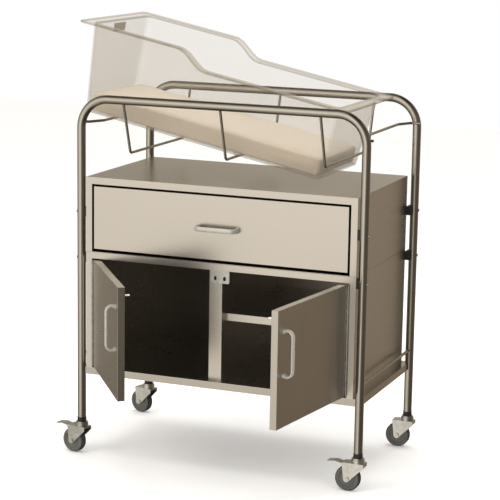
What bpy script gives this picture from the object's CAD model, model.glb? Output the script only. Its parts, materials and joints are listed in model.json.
"""Looks for a hospital bassinet cart: a clear tub on a tube frame over a stainless cabinet."""

import json
import logging
import math
from dataclasses import dataclass
from enum import Enum, IntEnum
from typing import Callable, Iterable, Sequence

import bmesh
import bpy
from mathutils import Matrix, Vector


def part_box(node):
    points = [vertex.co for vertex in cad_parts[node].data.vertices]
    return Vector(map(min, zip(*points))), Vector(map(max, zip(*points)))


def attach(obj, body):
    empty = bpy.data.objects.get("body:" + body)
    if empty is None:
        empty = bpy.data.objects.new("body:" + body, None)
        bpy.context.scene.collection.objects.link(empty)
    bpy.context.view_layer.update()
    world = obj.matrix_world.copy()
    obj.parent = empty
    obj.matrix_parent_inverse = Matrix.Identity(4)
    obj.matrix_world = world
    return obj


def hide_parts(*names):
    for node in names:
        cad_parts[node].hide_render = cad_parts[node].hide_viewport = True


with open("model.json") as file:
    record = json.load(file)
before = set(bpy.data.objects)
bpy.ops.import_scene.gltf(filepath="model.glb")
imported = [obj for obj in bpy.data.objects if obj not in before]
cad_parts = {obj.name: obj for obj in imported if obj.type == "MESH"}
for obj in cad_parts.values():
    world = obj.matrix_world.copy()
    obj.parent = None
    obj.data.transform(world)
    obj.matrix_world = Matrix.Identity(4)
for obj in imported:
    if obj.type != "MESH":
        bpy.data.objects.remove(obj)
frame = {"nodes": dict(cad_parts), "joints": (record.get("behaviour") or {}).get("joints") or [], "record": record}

MM = 0.001
X = Vector((1.0, 0.0, 0.0))
Y = Vector((0.0, 1.0, 0.0))
Z = Vector((0.0, 0.0, 1.0))

# Points closer than this are merged, faces that turn less than FLAT_DEG are joined, and edges that turn
# more than FOLD_DEG are rounded
MERGE_WITHIN = 0.02 * MM
FLAT_DEG = 1.0
FOLD_DEG = 40.0

# Most of a noise pattern's values lie between these
PATTERN_LOW = 0.3
PATTERN_HIGH = 0.7

# Corner radius of the unit outline, and how near its sides a point has to lie to be on them
TEMPLATE_CORNER = 0.25
TEMPLATE_NEAR = 0.00001

CRADLE_WIRES = ("head_cradle_wire", "middle_cradle_wire", "foot_cradle_wire")
END_WIRES = ("head_end_wire", "foot_end_wire")
log = logging.getLogger("bassinet")

Triple = tuple[float, float, float]
Stop = tuple[float, Triple]
Socket = bpy.types.NodeSocket
Material = bpy.types.Material
Object = bpy.types.Object
BMesh = bmesh.types.BMesh
Layer = bmesh.types.BMLayerItem
Placing = Callable[[Vector], Vector]


class Slot(Enum):
    """The record's material slots."""

    FRAME_STEEL = "frame_steel"
    CABINET_STEEL = "cabinet_steel"
    INNER_STEEL = "inner_steel"
    PLATED_STEEL = "plated_steel"
    PULL_ALUMINIUM = "pull_aluminium"
    BLACK_PLASTIC = "black_plastic"
    WHITE_PLASTIC = "white_plastic"
    HUB_PLASTIC = "hub_plastic"
    TYRE_RUBBER = "tyre_rubber"
    CLEAR_PLASTIC = "clear_plastic"
    CARD_PLASTIC = "card_plastic"
    MATTRESS_COVER = "mattress_cover"


class Side(Enum):
    """Which side of the cabinet a door hangs on."""

    LEFT = "left"
    RIGHT = "right"


class Skin(IntEnum):
    """A face's place in its piece's list of materials."""

    PLAIN = 0
    ACCENT = 1


# ---------------- frame lookups


def joint(name: str) -> dict:
    """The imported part's row for a joint."""
    return next(j for j in frame["joints"] if j["name"] == name)


def body_of_node(node: str) -> str:
    """The name of the body that carries a CAD node."""
    bodies = frame["record"]["behaviour"]["bodies"]
    return next(body for body, nodes in bodies.items() if node in nodes)


def slot_of_node(node: str) -> Slot:
    """The material slot that the record gives a CAD node."""
    rows = frame["record"]["subparts"]
    return Slot(next(row["material_slot"] for row in rows if row["node"] == node))


# ---------------- finishes


class Board:
    """Lays out the shader nodes of one material or of the world."""

    def __init__(self, owner: Material | bpy.types.World, output: str = "OutputMaterial") -> None:
        """Starts with an output and nothing else.

        Args:
            owner: The material or world.
            output: Type name of its output node, without the ShaderNode prefix.
        """
        owner.use_nodes = True
        self.owner = owner
        self.tree = owner.node_tree
        self.tree.nodes.clear()
        self.output = self.add(output)

    def add(self, kind: str, values: dict | None = None, **settings: object) -> bpy.types.Node:
        """Adds a node.

        Args:
            kind: The node's type name, without its ShaderNode prefix.
            values: A constant, or another node's output, for each socket by its name or number.
            settings: The node's own properties.

        Returns:
            The node.
        """
        node = self.tree.nodes.new("ShaderNode" + kind)
        for key, value in settings.items():
            setattr(node, key, value)
        for key, value in (values or {}).items():
            if isinstance(value, Socket):
                self.tree.links.new(value, node.inputs[key])
            else:
                node.inputs[key].default_value = value
        return node

    def finish(self, shader: Socket) -> Material | bpy.types.World:
        """Puts a shader on the surface and hands over the material or world."""
        self.tree.links.new(shader, self.output.inputs["Surface"])
        return self.owner

    def place(self, repeats: float | Triple) -> Socket:
        """Object coordinates, scaled.

        Args:
            repeats: Pattern repeats per metre, for all axes or for each of X, Y and Z.

        Returns:
            The scaled coordinates.
        """
        scale = (repeats,) * 3 if isinstance(repeats, float) else repeats
        coords = self.add("TexCoord").outputs["Object"]
        return self.add("Mapping", {"Vector": coords, "Scale": scale}).outputs["Vector"]

    def noise(self, repeats: float | Triple, detail: float = 3.0, rough: float = 0.5) -> Socket:
        """A noise pattern on object coordinates, from 0 to 1. Rough sets how strong its detail is."""
        values = {"Vector": self.place(repeats), "Scale": 1.0, "Detail": detail, "Roughness": rough}
        return self.add("TexNoise", values).outputs["Fac"]

    def calculate(self, operation: str, *values: Socket | float) -> Socket:
        """Works out a value from sockets and plain numbers."""
        return self.add("Math", dict(enumerate(values)), operation=operation).outputs[0]

    def ranged(self, value: Socket, low: float, high: float, start: float = 0.0, end: float = 1.0) -> Socket:
        """Maps a value from start and end to low and high, and keeps it between them."""
        values = {"Value": value, "From Min": start, "From Max": end, "To Min": low, "To Max": high}
        return self.add("MapRange", values).outputs["Result"]

    def spread(self, value: Socket, low: float, high: float) -> Socket:
        """Stretches the middle of a pattern over a range."""
        return self.ranged(value, low, high, PATTERN_LOW, PATTERN_HIGH)

    def ramp(self, value: Socket, stops: Sequence[Stop], easing: str = "LINEAR") -> Socket:
        """Colours a value by stops.

        Args:
            value: A value from 0 to 1.
            stops: Places from 0 to 1 in rising order, with their colours.
            easing: How the colour changes between two stops.

        Returns:
            The colour.
        """
        node = self.add("ValToRGB", {"Fac": value})
        elements = node.color_ramp.elements
        node.color_ramp.interpolation = easing
        while len(elements) < len(stops):
            elements.new(0.5)
        for element, (place, colour) in zip(elements, stops):
            element.position = place
            element.color = (*colour, 1.0)
        return node.outputs["Color"]

    def tint(self, value: Socket, low: Triple, high: Triple) -> Socket:
        """Colours the middle of a pattern from one colour to another."""
        return self.ramp(value, ((PATTERN_LOW, low), (PATTERN_HIGH, high)))

    def bump(
        self, height: Socket, distance: float, share: float = 1.0, under: Socket | None = None
    ) -> Socket:
        """Turns a pattern into a relief.

        Args:
            height: The pattern.
            distance: Height of the relief in metres.
            share: How much of it shows.
            under: A relief that this one lies on.

        Returns:
            The normal.
        """
        values = {"Height": height, "Distance": distance, "Strength": share}
        if under is not None:
            values["Normal"] = under
        return self.add("Bump", values).outputs["Normal"]

    def mix(self, share: Socket, first: Socket, second: Socket) -> Socket:
        """Mixes two shaders by the second one's share."""
        return self.add("MixShader", {0: share, 1: first, 2: second}).outputs[0]


@dataclass(frozen=True)
class SatinMetal:
    """Satin metal: a fine grain under a cloudy polish, which both colour it and change its gloss."""

    name: str
    dark: Triple
    light: Triple
    rough_low: float
    rough_high: float
    grain: float | Triple
    relief: float = 0.01 * MM
    metallic: float = 1.0
    clouds: float = 7.0

    def build(self) -> Material:
        """Makes the material."""
        board = Board(bpy.data.materials.new(self.name))
        cloud = board.noise(self.clouds, detail=4.0)
        grain = board.noise(self.grain, detail=2.0, rough=0.6)
        mottle = board.calculate("MULTIPLY", board.calculate("ADD", cloud, grain), 0.5)
        surface = {
            "Metallic": self.metallic,
            "Base Color": board.tint(mottle, self.dark, self.light),
            "Roughness": board.spread(mottle, self.rough_low, self.rough_high),
            "Normal": board.bump(grain, self.relief),
        }
        return board.finish(board.add("BsdfPrincipled", surface).outputs[0])


@dataclass(frozen=True)
class Moulding:
    """A plastic moulding or rubber with a fine grain and faint dust."""

    name: str
    dark: Triple
    light: Triple
    rough_low: float
    rough_high: float
    pebbles: float = 900.0
    relief: float = 0.04 * MM
    dust: float = 25.0

    def build(self) -> Material:
        """Makes the material."""
        board = Board(bpy.data.materials.new(self.name))
        dust = board.noise(self.dust, detail=5.0, rough=0.6)
        surface = {
            "Base Color": board.tint(dust, self.dark, self.light),
            "Roughness": board.spread(dust, self.rough_low, self.rough_high),
            "Normal": board.bump(board.noise(self.pebbles, detail=1.0), self.relief),
        }
        return board.finish(board.add("BsdfPrincipled", surface).outputs[0])


@dataclass(frozen=True)
class ClearMoulding:
    """Clear plastic: faintly warm, closing up towards its grazing edges, glossy with light scuffs."""

    name: str
    through: Triple
    film: Triple
    facing_share: float
    edge_share: float
    closing: float = 0.25
    gloss: float = 0.8
    rough_low: float = 0.04
    rough_high: float = 0.16
    scuffs: float = 40.0
    waves: float = 9.0
    relief: float = 0.6 * MM

    def build(self) -> Material:
        """Makes the material."""
        board = Board(bpy.data.materials.new(self.name))
        wave = board.bump(board.noise(self.waves, detail=1.0), self.relief)
        scuffs = board.noise(self.scuffs, detail=6.0, rough=0.7)
        surface = {
            "Base Color": (*self.film, 1.0),
            "Specular IOR Level": self.gloss,
            "Roughness": board.spread(scuffs, self.rough_low, self.rough_high),
            "Normal": wave,
        }
        film = board.add("BsdfPrincipled", surface)
        clear = board.add("BsdfTransparent", {"Color": (*self.through, 1.0)})
        facing = board.add("LayerWeight", {"Blend": self.closing, "Normal": wave}).outputs["Facing"]
        share = board.ranged(facing, self.facing_share, self.edge_share)
        return board.finish(board.mix(share, clear.outputs[0], film.outputs[0]))


@dataclass(frozen=True)
class CoatedCloth:
    """Coated cloth over foam: a close plain weave, puckers, a soft sheen and slow changes of colour."""

    name: str
    dark: Triple
    light: Triple
    rough_low: float = 0.62
    rough_high: float = 0.8
    clouds: float = 6.0
    weave: float = 150.0
    weave_relief: float = 0.06 * MM
    waver: float = 0.6
    puckers: Triple = (16.0, 22.0, 16.0)
    pucker_relief: float = 1.2 * MM
    pucker_share: float = 0.5
    sheen: float = 0.25
    sheen_rough: float = 0.5

    def build(self) -> Material:
        """Makes the material."""
        board = Board(bpy.data.materials.new(self.name))
        cloud = board.noise(self.clouds, detail=5.0, rough=0.6)
        puckers = board.bump(board.noise(self.puckers, detail=2.0), self.pucker_relief, self.pucker_share)
        weave = board.calculate("MULTIPLY", self.threads(board, "X"), self.threads(board, "Y"))
        surface = {
            "Sheen Weight": self.sheen,
            "Sheen Roughness": self.sheen_rough,
            "Base Color": board.tint(cloud, self.dark, self.light),
            "Roughness": board.spread(cloud, self.rough_low, self.rough_high),
            "Normal": board.bump(weave, self.weave_relief, under=puckers),
        }
        return board.finish(board.add("BsdfPrincipled", surface).outputs[0])

    def threads(self, board: Board, direction: str) -> Socket:
        """The threads that follow each other along one axis."""
        values = {"Vector": board.place(self.weave), "Scale": 1.0, "Distortion": self.waver}
        return board.add("TexWave", values, wave_type="BANDS", bands_direction=direction).outputs["Fac"]


Finish = SatinMetal | Moulding | ClearMoulding | CoatedCloth

FINISHES: dict[Slot, Finish] = {
    Slot.FRAME_STEEL: SatinMetal(
        "frame_steel", (0.46, 0.44, 0.40), (0.50, 0.48, 0.44), 0.15, 0.19, 60.0, 0.002 * MM
    ),
    Slot.CABINET_STEEL: SatinMetal(
        "cabinet_steel",
        (0.585, 0.561, 0.522),
        (0.63, 0.605, 0.565),
        0.26,
        0.32,
        (14.0, 14.0, 900.0),
        0.0007 * MM,
    ),
    Slot.INNER_STEEL: SatinMetal(
        "inner_steel", (0.20, 0.187, 0.168), (0.25, 0.235, 0.213), 0.32, 0.42, (6.0, 500.0, 500.0), 0.002 * MM
    ),
    Slot.PLATED_STEEL: SatinMetal(
        "plated_steel", (0.46, 0.472, 0.46), (0.82, 0.83, 0.81), 0.26, 0.42, 90.0, 0.03 * MM
    ),
    Slot.PULL_ALUMINIUM: SatinMetal(
        "pull_aluminium",
        (0.50, 0.48, 0.445),
        (0.60, 0.58, 0.54),
        0.32,
        0.42,
        (500.0, 500.0, 60.0),
        metallic=0.5,
    ),
    Slot.BLACK_PLASTIC: Moulding("black_plastic", (0.008, 0.008, 0.008), (0.02, 0.019, 0.018), 0.45, 0.6),
    Slot.WHITE_PLASTIC: Moulding("white_plastic", (0.80, 0.79, 0.76), (0.88, 0.87, 0.85), 0.25, 0.35),
    Slot.HUB_PLASTIC: Moulding("hub_plastic", (0.085, 0.085, 0.078), (0.125, 0.125, 0.115), 0.45, 0.6),
    Slot.TYRE_RUBBER: Moulding("tyre_rubber", (0.08, 0.08, 0.074), (0.115, 0.115, 0.106), 0.55, 0.75),
    Slot.CLEAR_PLASTIC: ClearMoulding(
        "clear_plastic", (0.94, 0.927, 0.906), (0.52, 0.485, 0.435), 0.032, 0.54
    ),
    Slot.CARD_PLASTIC: ClearMoulding("card_plastic", (0.80, 0.80, 0.79), (0.42, 0.42, 0.40), 0.5, 0.8),
    Slot.MATTRESS_COVER: CoatedCloth("mattress_cover", (0.565, 0.495, 0.41), (0.605, 0.535, 0.45)),
}
TUB_EDGE = ClearMoulding("clear_edge", (0.88, 0.855, 0.81), (0.19, 0.17, 0.14), 0.2, 0.6)
TREAD = Moulding("tyre_tread", (0.022, 0.022, 0.02), (0.05, 0.05, 0.045), 0.65, 0.85)


class Palette:
    """Builds each finish once."""

    def __init__(self) -> None:
        """Starts with nothing built."""
        self.made: dict[str, Material] = {}

    def of(self, finish: Finish) -> Material:
        """The material of a finish, made on first use."""
        if finish.name not in self.made:
            self.made[finish.name] = finish.build()
        return self.made[finish.name]

    def slot(self, slot: Slot) -> Material:
        """The material of a slot."""
        return self.of(FINISHES[slot])


PALETTE = Palette()


# ---------------- pieces


def add_object(name: str, data: bpy.types.ID) -> Object:
    """Adds an object to the scene, at the origin.

    Args:
        name: Its name.
        data: Its mesh, light or camera.

    Returns:
        The object.
    """
    made = bpy.data.objects.new(name, data)
    bpy.context.scene.collection.objects.link(made)
    return made


def settle(
    bm: BMesh,
    name: str,
    body: str,
    slot: Slot,
    stands_for: Iterable[str] = (),
    crease_deg: float = 35.0,
    accent: Finish | None = None,
) -> Object:
    """Turns a bmesh into a finished piece of the cart.

    Args:
        bm: The shape, in place, in metres. It is freed.
        name: The piece's name.
        body: The body it rides on.
        slot: The slot it takes its finish from.
        stands_for: CAD nodes that it replaces.
        crease_deg: Edges sharper than this stay crisp.
        accent: The finish of its accent faces.

    Returns:
        The piece.
    """
    mesh = bpy.data.meshes.new(name)
    bm.to_mesh(mesh)
    bm.free()
    mesh.shade_smooth()
    mesh.set_sharp_from_angle(angle=math.radians(crease_deg))
    mesh.materials.append(PALETTE.slot(slot))
    if accent is not None:
        mesh.materials.append(PALETTE.of(accent))
    piece = add_object(name, mesh)
    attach(piece, body)
    for node in stands_for:
        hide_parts(node)
    log.info("%s: %d faces on %s", name, len(mesh.polygons), body)
    return piece


def dress(node: str) -> None:
    """Gives a carried-over CAD node the finish of its slot.

    Args:
        node: The node's name.
    """
    owner = frame["nodes"][node]
    owner.data.materials.clear()
    owner.data.materials.append(PALETTE.slot(slot_of_node(node)))
    log.info("%s: dressed", node)


def round_off(bm: BMesh, parts: Sequence, radius: float, segments: int, affect: str = "EDGES") -> None:
    """Rounds edges or corners.

    Args:
        bm: The mesh.
        parts: The edges, or the corner points.
        radius: Radius of the rounding.
        segments: Faces across it.
        affect: EDGES or VERTICES.
    """
    bmesh.ops.bevel(
        bm,
        geom=parts,
        offset=radius,
        offset_type="OFFSET",
        segments=segments,
        profile=0.5,
        affect=affect,
        clamp_overlap=True,
        material=-1,
    )


def soften(node: str, radius: float, segments: int = 2) -> None:
    """Makes a copy of a CAD node whose sharp edges are rounded, and shows it in the node's place.

    Args:
        node: The node's name.
        radius: Radius of the rounding.
        segments: Faces across each rounding.
    """
    bm = bmesh.new()
    bm.from_mesh(frame["nodes"][node].data)
    bmesh.ops.remove_doubles(bm, verts=bm.verts, dist=MERGE_WITHIN)
    bmesh.ops.dissolve_limit(
        bm,
        angle_limit=math.radians(FLAT_DEG),
        verts=bm.verts,
        edges=bm.edges,
        use_dissolve_boundaries=False,
    )
    sharp = [e for e in bm.edges if e.is_manifold and e.calc_face_angle(0.0) > math.radians(FOLD_DEG)]
    round_off(bm, sharp, radius, segments)
    piece = settle(bm, node + "_rounded", body_of_node(node), slot_of_node(node), [node])
    even = piece.modifiers.new("even_normals", "WEIGHTED_NORMAL")
    even.keep_sharp = True


def place_points(bm: BMesh, place: Placing) -> Layer:
    """Moves a unit shape to its place and keeps each point's unit place in a layer named plan.

    Args:
        bm: The unit shape.
        place: Gives the new place of a point of the unit shape.

    Returns:
        The layer.
    """
    plan = bm.verts.layers.float_vector.new("plan")
    for vert in bm.verts:
        vert[plan] = vert.co
        vert.co = place(vert[plan])
    return plan


def grow(bm: BMesh, place: Placing, plan: Layer, skin: Skin = Skin.PLAIN) -> None:
    """Extrudes the open rim of a shell by one ring.

    Args:
        bm: The shell.
        place: Gives the new place of a point of the unit shape.
        plan: The layer that holds each point's place on the unit shape.
        skin: The new faces' material.
    """
    rim = [e for e in bm.edges if e.is_boundary]
    made = bmesh.ops.extrude_edge_only(bm, edges=rim)
    for part in made["geom"]:
        if isinstance(part, bmesh.types.BMVert):
            part.co = place(part[plan])
        elif isinstance(part, bmesh.types.BMFace):
            part.material_index = skin


def close(bm: BMesh) -> None:
    """Fills the open end of a shell and turns its faces outwards."""
    bmesh.ops.holes_fill(bm, edges=[e for e in bm.edges if e.is_boundary], sides=0)
    bmesh.ops.recalc_face_normals(bm, faces=bm.faces)


@dataclass
class TubeFrame:
    """The two loops, the wires that cradle the tub, the base frame and its fixings."""

    weld_size: float = 4.6 * MM
    weld_shape: Triple = (1.0, 0.8, 0.55)
    weld_crease_deg: float = 80.0
    spacer_edge: float = 0.8 * MM
    rail_edge: float = 1.6 * MM

    def build(self) -> None:
        """Dresses the frame and adds its weld beads."""
        for node in ("front_loop", "rear_loop", "guard_rods", "spacer_screws", *CRADLE_WIRES, *END_WIRES):
            dress(node)
        soften("leg_spacers", self.spacer_edge)
        for node in ("long_base_rails", "side_base_rails"):
            soften(node, self.rail_edge)
        self.build_welds()

    def weld_points(self) -> list[Vector]:
        """Where the wires meet the tubes."""
        leg = Vector(joint("rear_right_swivel")["pos_m"])
        points = []
        for node in CRADLE_WIRES:
            low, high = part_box(node)
            x = (low.x + high.x) / 2
            points += [Vector((x, side * leg.y, high.z)) for side in (-1, 1)]
        for node in END_WIRES:
            low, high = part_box(node)
            outward = 1 if low.x + high.x > 0 else -1
            z = (low.z + high.z) / 2
            wire = (high.z - low.z) / 2
            points += [Vector((outward * leg.x, side * (high.y - wire), z)) for side in (-1, 1)]
        return points

    def build_welds(self) -> None:
        """Makes one low bead at each welded end."""
        bm = bmesh.new()
        for point in self.weld_points():
            made = bmesh.ops.create_icosphere(bm, subdivisions=2, radius=self.weld_size)
            bmesh.ops.scale(bm, verts=made["verts"], vec=self.weld_shape)
            bmesh.ops.translate(bm, verts=made["verts"], vec=point)
        settle(bm, "weld_beads", "cart", Slot.FRAME_STEEL, crease_deg=self.weld_crease_deg)


@dataclass
class Cabinet:
    """The drawer case over the cupboard case, with their backs, divider, shelf and hinge leaves."""

    case_fold: float = 0.5 * MM
    sheet_fold: float = 0.35 * MM

    def build(self) -> None:
        """Rounds the folded sheets and dresses the rest."""
        for node in ("drawer_case", "cupboard_case", "drawer_case_back", "cupboard_back"):
            soften(node, self.case_fold)
        for node in ("centre_divider", "half_shelf", "catch_plate"):
            soften(node, self.sheet_fold)
        for node in ("hinge_frame_leaves", "hinge_pins", "slide_outer_members", "slide_middle_members"):
            dress(node)


@dataclass(frozen=True)
class Station:
    """One place on a pull's centre line: along the pull, over its base, its turn, and its share of a foot."""

    along: float
    height: float
    turn: float = 0.0
    foot: float = 0.0


@dataclass
class Pull:
    """A cast bow pull: feet that widen, round shoulders and a flattened bar."""

    node: str
    along: Vector
    outward: Vector
    bar_thick: float = 6.5 * MM
    foot_thick: float = 11.5 * MM
    foot_rise: float = 0.25
    foot_flare: float = 0.8
    knee_flare: float = 0.1
    shoulder: float = 15.0 * MM
    narrowing: float = 0.84
    squareness: float = 0.72
    turn_steps: int = 9
    points: int = 24
    crisp_deg: float = 50.0

    def span(self, axis: Vector) -> tuple[float, float]:
        """How far the CAD pull reaches along an axis."""
        places = [vert.co.dot(axis) for vert in frame["nodes"][self.node].data.vertices]
        return min(places), max(places)

    def path(self) -> list[Station]:
        """The bar's centre line, from foot to foot."""
        low, high = self.span(self.along)
        base, top = self.span(self.outward)
        half = self.bar_thick / 2
        heel = low + self.foot_thick / 2
        knee = top - half - self.shoulder
        rows = [
            Station(heel, base, foot=1.0),
            Station(heel, base + (knee - base) * self.foot_rise, foot=self.foot_flare),
            Station(low + half, knee, foot=self.knee_flare),
        ]
        for step in range(1, self.turn_steps + 1):
            turn = math.radians(90.0 * step / self.turn_steps)
            along = low + half + self.shoulder * (1 - math.cos(turn))
            rows.append(Station(along, knee + self.shoulder * math.sin(turn), turn))
        back = [Station(low + high - row.along, row.height, math.pi - row.turn, row.foot) for row in rows]
        return rows + back[::-1]

    def squared(self, value: float) -> float:
        """Pushes a coordinate of a round section towards a rounded rectangle's."""
        return math.copysign(abs(value) ** self.squareness, value)

    def ring(self, row: Station) -> Placing:
        """The section at a station.

        Args:
            row: The station.

        Returns:
            What places a point of the unit circle on the section.
        """
        across = self.along.cross(self.outward).normalized()
        left, right = self.span(across)
        side = self.outward * math.sin(row.turn) - self.along * math.cos(row.turn)
        wide = (right - left) * (self.narrowing + (1 - self.narrowing) * row.foot)
        thick = self.bar_thick + (self.foot_thick - self.bar_thick) * row.foot
        centre = self.along * row.along + self.outward * row.height + across * (left + right) / 2

        def place(unit: Vector) -> Vector:
            """Places a point of the unit circle."""
            over, out = self.squared(unit.x) * wide / 2, self.squared(unit.y) * thick / 2
            return centre + across * over + side * out

        return place

    def build(self) -> None:
        """Sweeps the section along the path."""
        first, *others = self.path()
        bm = bmesh.new()
        bmesh.ops.create_circle(bm, cap_ends=True, segments=self.points, radius=1.0)
        plan = place_points(bm, self.ring(first))
        for row in others:
            grow(bm, self.ring(row), plan)
        close(bm)
        body, slot = body_of_node(self.node), slot_of_node(self.node)
        settle(bm, self.node + "_cast", body, slot, [self.node], crease_deg=self.crisp_deg)


@dataclass
class Drawer:
    """The drawer's pan front, box, inner slide channels and pull."""

    front_fold: float = 1.0 * MM
    box_fold: float = 0.4 * MM

    def build(self) -> None:
        """Rounds the front and box, casts the pull and dresses the rest."""
        soften("drawer_front", self.front_fold, segments=3)
        soften("drawer_box", self.box_fold)
        dress("slide_inner_members")
        Pull("drawer_pull", X, -Y).build()


@dataclass
class Door:
    """One door: folded shell, inner skin, hinge leaf, pull and catch pin."""

    side: Side
    shell_fold: float = 1.0 * MM
    liner_fold: float = 0.3 * MM

    def build(self) -> None:
        """Rounds the shell and inner skin, casts the pull and dresses the rest."""
        name = self.side.value
        soften(name + "_door_shell", self.shell_fold, segments=3)
        soften(name + "_door_liner", self.liner_fold)
        for part in ("door_leaf", "catch_pin"):
            dress(f"{name}_{part}")
        hinge = joint(name + "_door_hinge")
        opened = Matrix.Rotation(-math.radians(hinge["range_deg"][0]), 3, Vector(hinge["axis"]))
        Pull(name + "_door_pull", Z, opened @ -Y).build()


@dataclass
class Caster:
    """One caster: fork, axle, hub and a tyre with a grooved tread, and a brake pedal on some."""

    corner: str
    has_pedal: bool
    radius: float = 32.5 * MM
    bore: float = 21.0 * MM
    half_width: float = 11.0 * MM
    tread_from: float = 31.0 * MM
    fork_edge: float = 0.7 * MM
    pedal_edge: float = 0.42 * MM
    spin_steps: int = 72

    def build(self) -> None:
        """Makes the tyre, rounds the fork and pedal and dresses the rest."""
        soften(self.corner + "_fork", self.fork_edge)
        if self.has_pedal:
            soften(self.corner + "_pedal", self.pedal_edge)
        for part in ("axle", "hub"):
            dress(f"{self.corner}_{part}")
        self.build_tyre()

    def section(self) -> list[tuple[float, float]]:
        """Half of the tyre's section as radius and distance from its middle, from bore to tread."""
        r, w = self.radius, self.half_width
        return [
            (self.bore, w - 1.6 * MM),
            (self.bore + 0.9 * MM, w - 0.5 * MM),
            (self.bore + 2.6 * MM, w),
            (r - 4.6 * MM, w),
            (r - 2.2 * MM, w - 0.9 * MM),
            (r - 0.7 * MM, w - 2.6 * MM),
            (r, w - 5.0 * MM),
            (r, 1.5 * MM),
            (r - 0.7 * MM, 0.9 * MM),
        ]

    def build_tyre(self) -> None:
        """Spins the tyre's section about its axle."""
        half = self.section()
        ring = half + [(radius, -across) for radius, across in reversed(half)]
        bm = bmesh.new()
        verts = [bm.verts.new((radius, across, 0.0)) for radius, across in ring]
        edges = [bm.edges.new((a, b)) for a, b in zip(verts, verts[1:] + verts[:1])]
        bmesh.ops.spin(
            bm,
            geom=verts + edges,
            cent=(0.0, 0.0, 0.0),
            axis=Y,
            angle=math.tau,
            steps=self.spin_steps,
            use_merge=True,
            use_duplicate=False,
        )
        bmesh.ops.remove_doubles(bm, verts=bm.verts, dist=MERGE_WITHIN)
        bmesh.ops.recalc_face_normals(bm, faces=bm.faces)
        for face in bm.faces:
            middle = face.calc_center_median()
            on_tread = math.hypot(middle.x, middle.z) > self.tread_from
            face.material_index = Skin.ACCENT if on_tread else Skin.PLAIN
        roll = joint(self.corner + "_roll")
        turn = Y.rotation_difference(Vector(roll["axis"]))
        to_place = Matrix.Translation(roll["pos_m"]) @ turn.to_matrix().to_4x4()
        bmesh.ops.transform(bm, matrix=to_place, verts=bm.verts)
        tyre, wheel = self.corner + "_tyre", self.corner + "_wheel"
        settle(bm, self.corner + "_grooved_tyre", wheel, Slot.TYRE_RUBBER, [tyre], accent=TREAD)


# ---------------- tub and mattress


@dataclass(frozen=True)
class Outline:
    """A rounded rectangle in the tub's own plan, s along the floor and y across."""

    head: float
    foot: float
    half: float
    corner: float

    def inset(self, by: float) -> "Outline":
        """The outline moved in by a distance."""
        return Outline(self.head + by, self.foot - by, self.half - by, self.corner - by)

    def point(self, unit: Vector) -> tuple[float, float]:
        """Places a point of the unit outline, whose corners have radius TEMPLATE_CORNER.

        Args:
            unit: The point, from -1 to 1 both ways.

        Returns:
            Its s and y on this outline.
        """
        reach = 1.0 - TEMPLATE_CORNER
        core = Vector((max(-reach, min(reach, unit.x)), max(-reach, min(reach, unit.y))))
        away = (Vector((unit.x, unit.y)) - core) / TEMPLATE_CORNER
        half_s = (self.foot - self.head) / 2
        s = (self.foot + self.head) / 2 + core.x / reach * (half_s - self.corner) + away.x * self.corner
        y = core.y / reach * (self.half - self.corner) + away.y * self.corner
        return s, y


def outline_face(bm: BMesh, along: int, across: int, round_steps: int) -> None:
    """Starts a shell with a unit rounded rectangle, from -1 to 1 both ways.

    Args:
        bm: The mesh to start it in.
        along: Extra points on each long side.
        across: Extra points on each short side.
        round_steps: Segments round each corner.
    """
    bmesh.ops.create_grid(bm, x_segments=1, y_segments=1, size=1.0)
    round_off(bm, list(bm.verts), TEMPLATE_CORNER, round_steps, "VERTICES")
    for axis, cuts in ((1, along), (0, across)):
        sides = [e for e in bm.edges if all(abs(abs(v.co[axis]) - 1.0) < TEMPLATE_NEAR for v in e.verts)]
        bmesh.ops.subdivide_edges(bm, edges=sides, cuts=cuts)


@dataclass
class TubAxes:
    """The tub's own axes: s down the floor's slope, y across, n square to the floor."""

    over_wire: float = 7.3 * MM

    def __post_init__(self) -> None:
        """Reads the slope from the mattress's joint and the height from the middle wire's axis."""
        self.square = Vector(joint("mattress_lift")["axis"]).normalized()
        self.down = Vector((self.square.z, 0.0, -self.square.x))
        low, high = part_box("middle_cradle_wire")
        wire = (high.x - low.x) / 2
        self.origin = Z * (low.z + wire + self.over_wire)

    def world(self, s: float, y: float, n: float) -> Vector:
        """The cart's coordinates of a point in the tub."""
        return self.origin + self.down * s + Y * y + self.square * n


Band = tuple[float, float, Skin]


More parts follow.
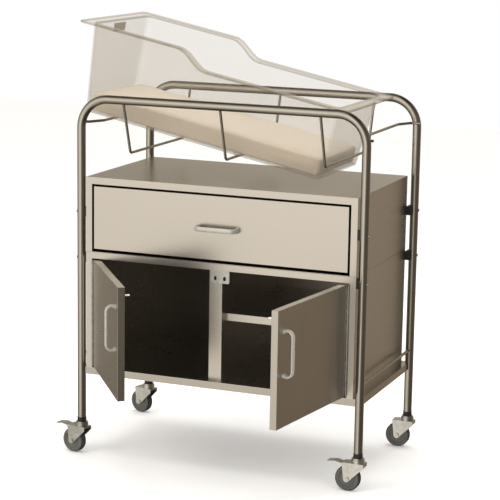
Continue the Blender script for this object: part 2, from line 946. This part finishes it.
@dataclass
class Tub:
    """The clear tub: a flared shell with an S-shaped rim, a flat flange, and two ribs that stand on wires."""

    axes: TubAxes
    head: float = -420 * MM
    foot: float = 248 * MM
    half: float = 148 * MM
    corner: float = 20 * MM
    head_flare: float = math.tan(math.radians(2.9))
    foot_flare: float = math.tan(math.radians(4.5))
    side_flare: float = math.tan(math.radians(5.6))
    flange: Outline = Outline(-456 * MM, 291 * MM, 195 * MM, 16 * MM)
    rim_high: float = 243 * MM
    rim_low: float = 201 * MM
    step_from: float = -176 * MM
    step_to: float = -92 * MM
    wall: float = 3.6 * MM
    floor_low: float = 6 * MM
    floor_round: float = 5 * MM
    rim_round: float = 5 * MM
    lip: float = 2.5 * MM
    crisp_deg: float = 50.0
    eased: float = 0.8 * MM
    # Rise and inset, as shares of floor_round
    floor_rings: Sequence[Band] = (
        (0.05, 0.6, Skin.PLAIN),
        (0.29, 0.29, Skin.ACCENT),
        (0.6, 0.05, Skin.ACCENT),
        (1.0, 0.0, Skin.PLAIN),
    )
    # Shares of the way up to the rim
    wall_rings: Sequence[float] = (0.33, 0.66, 1.0)
    # Distance out from the wall, and drop as a share of rim_round
    rim_rings: Sequence[Band] = (
        (0.4 * MM, 0.5, Skin.ACCENT),
        (1.5 * MM, 0.2, Skin.ACCENT),
        (4.5 * MM, 0.0, Skin.PLAIN),
    )
    # Distance in from the flange's edge, and drop as a share of lip
    flange_rings: Sequence[Band] = (
        (2.0 * MM, 0.0, Skin.PLAIN),
        (0.6 * MM, 0.25, Skin.ACCENT),
        (0.3 * MM, 1.0, Skin.ACCENT),
    )
    # Start and end along the floor, and height of the foot
    ribs: Sequence[Triple] = (
        (-8 * MM, 8 * MM, -3.3 * MM),
        (-368 * MM, -350 * MM, 0.7 * MM),
    )
    rib_half: float = 100 * MM
    rib_gap: float = 0.05 * MM
    rib_round: float = 1.2 * MM

    def rim(self, s: float) -> float:
        """Height of the rim's top at s."""
        share = max(0.0, min(1.0, (s - self.step_from) / (self.step_to - self.step_from)))
        return self.rim_low + (self.rim_high - self.rim_low) * (1 + math.cos(math.pi * share)) / 2

    def walls(self, n: float) -> Outline:
        """The walls' outer outline at height n."""
        return Outline(
            self.head - self.head_flare * n,
            self.foot + self.foot_flare * n,
            self.half + self.side_flare * n,
            self.corner,
        )

    def ring(
        self, height: Callable[[float], float], outline: Callable[[float], Outline], guide: Outline
    ) -> Placing:
        """A ring round the tub.

        Args:
            height: The ring's height at each s of the guide.
            outline: The ring's outline at each height.
            guide: The outline whose points the heights are taken at.

        Returns:
            What places a point of the unit outline on the ring.
        """

        def place(unit: Vector) -> Vector:
            """Places a point of the unit outline."""
            n = height(guide.point(unit)[0])
            s, y = outline(n).point(unit)
            return self.axes.world(s, y, n)

        return place

    def low_ring(self, rise: float, inset: float) -> Placing:
        """A level ring at a rise over the floor's underside."""
        n = self.floor_low + rise
        return self.ring(lambda s: n, lambda n: self.walls(n).inset(inset), self.walls(n))

    def wall_ring(self, share: float) -> Placing:
        """A ring up the wall, at a share of the way to the rim."""
        low = self.floor_low + self.floor_round
        reach = self.wall + self.rim_round + low
        guide = self.walls(self.rim_low)
        return self.ring(lambda s: low + (self.rim(s) - reach) * share, self.walls, guide)

    def rim_ring(self, out: float, drop: float) -> Placing:
        """A ring that turns from the wall towards the flange, under the rim's top."""
        guide = self.walls(self.rim_low)
        return self.ring(lambda s: self.rim(s) - self.wall - drop, lambda n: self.walls(n).inset(-out), guide)

    def flange_ring(self, inset: float, drop: float) -> Placing:
        """A ring on the flange, near its outer edge."""
        edge = self.flange.inset(inset)
        return self.ring(lambda s: self.rim(s) - self.wall - drop, lambda n: edge, edge)

    def shell(self) -> BMesh:
        """The shell's outer face, from the floor up to the flange's lip, facing outwards."""
        bm = bmesh.new()
        outline_face(bm, along=44, across=10, round_steps=10)
        plan = place_points(bm, self.low_ring(0.0, self.floor_round))
        for rise, inset, skin in self.floor_rings:
            grow(bm, self.low_ring(self.floor_round * rise, self.floor_round * inset), plan, skin)
        for share in self.wall_rings:
            grow(bm, self.wall_ring(share), plan)
        for out, drop, skin in self.rim_rings:
            grow(bm, self.rim_ring(out, self.rim_round * drop), plan, skin)
        for inset, drop, skin in self.flange_rings:
            grow(bm, self.flange_ring(inset, self.lip * drop), plan, skin)
        bmesh.ops.recalc_face_normals(bm, faces=bm.faces)
        floor = min(bm.faces, key=lambda face: face.calc_center_median().z - face.calc_area())
        if floor.normal.dot(self.axes.square) > 0:
            bmesh.ops.reverse_faces(bm, faces=bm.faces)
        return bm

    def build(self) -> None:
        """Makes the shell and its ribs, and dresses the card holder."""
        bm = self.shell()
        bmesh.ops.solidify(bm, geom=list(bm.faces), thickness=self.wall)
        piece = settle(
            bm, "clear_tub", "bassinet", Slot.CLEAR_PLASTIC, ["tub"], self.crisp_deg, accent=TUB_EDGE
        )
        piece.visible_glossy = False
        edge = piece.modifiers.new("eased_edges", "BEVEL")
        edge.width = self.eased
        edge.segments = 2
        edge.limit_method = "ANGLE"
        edge.angle_limit = math.radians(self.crisp_deg)
        self.build_ribs()
        dress("card_holder")

    def build_ribs(self) -> None:
        """Makes the ribs under the floor."""
        bm = bmesh.new()
        for start, end, foot in self.ribs:
            made = bmesh.ops.create_cube(bm, size=1.0)
            for vert in made["verts"]:
                s = start + (vert.co.x + 0.5) * (end - start)
                n = foot + (vert.co.z + 0.5) * (self.floor_low - self.rib_gap - foot)
                vert.co = self.axes.world(s, vert.co.y * 2 * self.rib_half, n)
        round_off(bm, list(bm.edges), self.rib_round, 3)
        settle(bm, "tub_floor_ribs", "bassinet", Slot.CLEAR_PLASTIC)


def bake_modifiers(piece: Object) -> None:
    """Replaces a piece's mesh by what its modifiers make of it."""
    depsgraph = bpy.context.evaluated_depsgraph_get()
    mesh = bpy.data.meshes.new_from_object(piece.evaluated_get(depsgraph))
    piece.modifiers.clear()
    old = piece.data
    piece.data = mesh
    bpy.data.meshes.remove(old)


@dataclass
class Mattress:
    """A flat foam mattress in a coated cover, a little crowned, soft at its edges."""

    axes: TubAxes
    outline: Outline = Outline(-407.5 * MM, 241.5 * MM, 141.5 * MM, 12 * MM)
    low: float = 10.6 * MM
    high: float = 57.0 * MM
    edge: float = 4.0 * MM
    edge_share: float = 0.3
    voxel: float = 5.0 * MM
    frames: int = 20
    pressure: float = 3.0
    cap: float = 3.2 * MM
    crown: float = 2.0 * MM
    crown_power: int = 4

    def level(self, n: float, inset: float) -> Placing:
        """A level ring of the slab."""
        shape = self.outline.inset(inset)
        return lambda unit: self.axes.world(*shape.point(unit), n)

    def block(self) -> BMesh:
        """The slab before it is filled, with rounded corners and edges."""
        bm = bmesh.new()
        outline_face(bm, along=30, across=12, round_steps=8)
        soft, near = self.edge, self.edge * self.edge_share
        plan = place_points(bm, self.level(self.low, soft))
        for n, inset in (
            (self.low + near, near),
            (self.low + soft, 0.0),
            (self.high - soft, 0.0),
            (self.high - near, near),
            (self.high, soft),
        ):
            grow(bm, self.level(n, inset), plan)
        close(bm)
        return bm

    def fill(self, piece: Object) -> None:
        """Blows the cover up and keeps the result, within the cap.

        Args:
            piece: The slab. Its mesh is replaced.
        """
        remesh = piece.modifiers.new("even_mesh", "REMESH")
        remesh.mode = "VOXEL"
        remesh.voxel_size = self.voxel
        bake_modifiers(piece)
        rest = [vert.co.copy() for vert in piece.data.vertices]
        cloth = piece.modifiers.new("filling", "CLOTH")
        cloth.settings.use_pressure = True
        cloth.settings.uniform_pressure_force = self.pressure
        cloth.settings.effector_weights.gravity = 0.0
        cloth.point_cache.frame_start = 1
        cloth.point_cache.frame_end = self.frames
        for number in range(1, self.frames + 1):
            bpy.context.scene.frame_set(number)
        bake_modifiers(piece)
        bpy.context.scene.frame_set(1)
        for vert, start in zip(piece.data.vertices, rest):
            move = vert.co - start
            if move.length > self.cap:
                vert.co = start + move.normalized() * self.cap

    def crown_top(self, piece: Object) -> None:
        """Raises the middle of the top and flattens the underside.

        Args:
            piece: The filled slab.
        """
        middle = (self.outline.head + self.outline.foot) / 2
        reach = (self.outline.foot - self.outline.head) / 2
        for vert in piece.data.vertices:
            offset = vert.co - self.axes.origin
            s, n = offset.dot(self.axes.down), offset.dot(self.axes.square)
            share_s = min(1.0, abs(s - middle) / reach) ** self.crown_power
            share_y = min(1.0, abs(offset.y) / self.outline.half) ** self.crown_power
            rise = (n - self.low) / (self.high - self.low)
            lift = self.crown * rise * (1 - share_s) * (1 - share_y)
            vert.co += self.axes.square * (self.low - n if n < self.low else lift)

    def build(self) -> None:
        """Makes the mattress."""
        piece = settle(self.block(), "foam_mattress", "mattress", Slot.MATTRESS_COVER, ["mattress"])
        piece.visible_glossy = False
        self.fill(piece)
        self.crown_top(piece)
        piece.data.shade_smooth()
        smooth = piece.modifiers.new("smooth", "SUBSURF")
        smooth.levels = smooth.render_levels = 1


# ---------------- studio


@dataclass(frozen=True)
class Lamp:
    """A soft square light that faces the cart."""

    name: str
    place: Triple
    size: float
    watts: float
    colour: Triple
    towards: Triple = (0.0, 0.0, 0.6)

    def hang(self) -> None:
        """Adds the light, which the steel doesn't mirror."""
        data = bpy.data.lights.new(self.name, "AREA")
        data.size = self.size
        data.energy = self.watts
        data.color = self.colour
        aim = Vector(self.towards) - Vector(self.place)
        lamp = add_object(self.name, data)
        lamp.location = self.place
        lamp.visible_glossy = False
        lamp.rotation_mode = "QUATERNION"
        lamp.rotation_quaternion = aim.to_track_quat("-Z", "Y")


@dataclass
class Studio:
    """The floor, the room that the steel mirrors, the lights and the camera."""

    floor_size: float = 14.0
    floor_dark: Triple = (0.945, 0.943, 0.938)
    floor_light: Triple = (0.955, 0.953, 0.948)
    floor_rough: float = 0.75
    floor_glow: float = 0.16
    lens: float = 132.3
    sensor: float = 36.0
    near: float = 0.1
    far: float = 50.0
    azimuth: float = 21.75
    elevation: float = 11.08
    roll: float = 0.94
    aim: Triple = (0.0027, 0.0, 0.5468)
    distance: float = 4.838
    lamps: Sequence[Lamp] = (
        Lamp("key", (-2.2, -3.2, 2.6), 2.4, 60.0, (1.0, 0.96, 0.9)),
        Lamp("top", (0.0, 0.3, 3.4), 2.6, 60.0, (1.0, 0.98, 0.95)),
        Lamp("fill", (3.0, -2.4, 1.4), 1.6, 10.0, (1.0, 0.94, 0.86)),
    )
    soft_colour: Triple = (1.0, 0.98, 0.95)
    soft_strength: float = 0.92
    mirrored_strength: float = 1.7
    # Degrees round the cart from its front, positive towards its right
    walls: Sequence[Stop] = (
        (-180.0, (0.34, 0.305, 0.255)),
        (-125.0, (0.17, 0.145, 0.11)),
        (-90.0, (0.20, 0.18, 0.15)),
        (-45.0, (0.62, 0.57, 0.50)),
        (-20.0, (0.78, 0.725, 0.64)),
        (-3.0, (0.84, 0.775, 0.69)),
        (22.0, (0.22, 0.197, 0.165)),
        (47.0, (0.085, 0.075, 0.058)),
        (100.0, (0.09, 0.078, 0.062)),
        (140.0, (0.155, 0.12, 0.085)),
        (160.0, (0.21, 0.165, 0.12)),
        (180.0, (0.34, 0.305, 0.255)),
    )
    # Sine of the angle above the horizon
    heights: Sequence[Stop] = (
        (-1.0, (0.30, 0.28, 0.25)),
        (-0.45, (0.55, 0.54, 0.52)),
        (-0.1, (0.95, 0.95, 0.95)),
        (0.2, (1.0, 1.0, 1.0)),
        (0.6, (0.75, 0.75, 0.74)),
        (0.9, (0.22, 0.21, 0.20)),
    )

    def build(self) -> None:
        """Sets up everything round the cart."""
        bpy.context.scene.view_settings.view_transform = "Standard"
        self.build_floor()
        self.build_world()
        for lamp in self.lamps:
            lamp.hang()
        self.build_camera()

    def build_floor(self) -> None:
        """Makes the pale floor."""
        bm = bmesh.new()
        bmesh.ops.create_grid(bm, x_segments=2, y_segments=2, size=self.floor_size / 2)
        mesh = bpy.data.meshes.new("floor")
        bm.to_mesh(mesh)
        bm.free()
        board = Board(bpy.data.materials.new("pale_floor"))
        surface = {
            "Base Color": board.tint(board.noise(2.0), self.floor_dark, self.floor_light),
            "Roughness": self.floor_rough,
            "Emission Color": (1.0, 1.0, 1.0, 1.0),
            "Emission Strength": self.floor_glow,
        }
        mesh.materials.append(board.finish(board.add("BsdfPrincipled", surface).outputs[0]))
        floor = add_object("floor", mesh)
        floor.visible_glossy = False

    def band(self, board: Board, value: Socket, half: float, stops: Sequence[Stop]) -> Socket:
        """Colours a value by stops in its own units.

        Args:
            board: The world's nodes.
            value: The value, from minus half to half.
            half: Half of the value's range.
            stops: Places in the value's units, with their colours.

        Returns:
            The colour.
        """
        shares = [((place + half) / (2 * half), colour) for place, colour in stops]
        return board.ramp(board.ranged(value, 0.0, 1.0, -half, half), shares, "EASE")

    def build_world(self) -> None:
        """Sets a room for the steel to mirror: bright in front, dark on the right, dim behind and above."""
        world = bpy.data.worlds.new("studio")
        board = Board(world, "OutputWorld")
        coords = board.add("TexCoord").outputs["Generated"]
        view = board.add("SeparateXYZ", {0: coords}).outputs
        turn = board.calculate("ARCTAN2", view["X"], board.calculate("MULTIPLY", view["Y"], -1.0))
        degrees = board.calculate("DEGREES", turn)
        tints = {
            "Factor": 1.0,
            "A": self.band(board, degrees, 180.0, self.walls),
            "B": self.band(board, view["Z"], 1.0, self.heights),
        }
        room = board.add("Mix", tints, data_type="RGBA", blend_type="MULTIPLY").outputs["Result"]
        mirrored = board.add("Background", {"Color": room, "Strength": self.mirrored_strength})
        soft = board.add("Background", {"Color": (*self.soft_colour, 1.0), "Strength": self.soft_strength})
        seen = board.add("Background", {"Color": (1.0, 1.0, 1.0, 1.0)})
        rays = board.add("LightPath").outputs
        lit = board.mix(rays["Is Glossy Ray"], soft.outputs[0], mirrored.outputs[0])
        board.finish(board.mix(rays["Is Camera Ray"], lit, seen.outputs[0]))
        bpy.context.scene.world = world

    def build_camera(self) -> None:
        """Places the camera by its angles round the point that it aims at."""
        azimuth, elevation, roll = (math.radians(v) for v in (self.azimuth, self.elevation, self.roll))
        right = X * math.cos(azimuth) + Y * math.sin(azimuth)
        forward = Z.cross(right) * math.cos(elevation) - Z * math.sin(elevation)
        up = right.cross(forward)
        data = bpy.data.cameras.new("camera")
        data.lens = self.lens
        data.sensor_width = self.sensor
        data.clip_start = self.near
        data.clip_end = self.far
        side = right * math.cos(roll) + up * math.sin(roll)
        top = up * math.cos(roll) - right * math.sin(roll)
        turned = Matrix((side, top, -forward)).transposed().to_4x4()
        camera = add_object("camera", data)
        camera.matrix_world = Matrix.Translation(Vector(self.aim) - forward * self.distance) @ turned
        bpy.context.scene.camera = camera


def main() -> None:
    """Builds the studio and the cart's looks, and notes the boxes before and after."""
    logging.basicConfig(level=logging.INFO, format="%(name)s %(message)s")
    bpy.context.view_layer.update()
    Studio().build()
    TubeFrame().build()
    Cabinet().build()
    Drawer().build()
    for side in Side:
        Door(side).build()
    for corner in ("front_left", "front_right", "rear_right", "rear_left"):
        Caster(corner, has_pedal=corner.startswith("front")).build()
    for node in ("stem_collars", "caster_stems"):
        dress(node)
    axes = TubAxes()
    Tub(axes).build()
    Mattress(axes).build()


if __name__ == "__main__":
    main()
